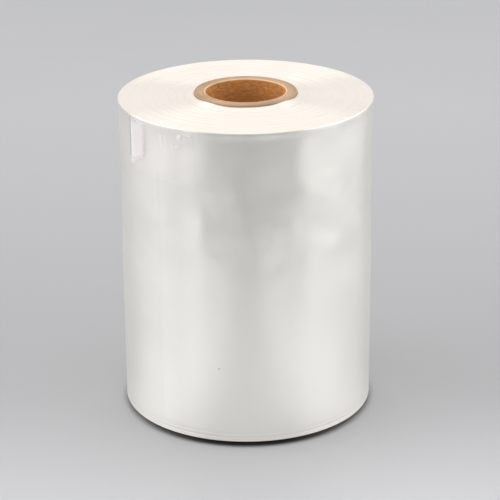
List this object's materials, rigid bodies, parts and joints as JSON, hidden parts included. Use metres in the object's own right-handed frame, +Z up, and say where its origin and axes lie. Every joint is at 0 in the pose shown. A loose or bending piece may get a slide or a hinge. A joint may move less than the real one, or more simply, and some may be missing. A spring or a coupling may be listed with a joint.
{
  "type": "roll of shrink film",
  "caption": "Roll of clear shrink film wound on a thick cardboard core that stands a little proud at both ends, its loose end held by clear tape.",
  "frame": {"origin": "centre of the core's lower end, on the surface that the roll stands on", "axes": "+Z up along the core's axis; the picture looks along +Y, and +X is to its right"},
  "size_m": [0.2412, 0.2413, 0.313],
  "materials": {
    "core": "matte, spiral-wound paper plies, cut ends",
    "film": "semi-gloss, pearly, tightly wound clear film",
    "tape": "clear gloss"
  },
  "bodies": {
    "root": {"core": "core", "film_roll": "film", "tail_tape": "tape"}
  },
  "joints": []
}
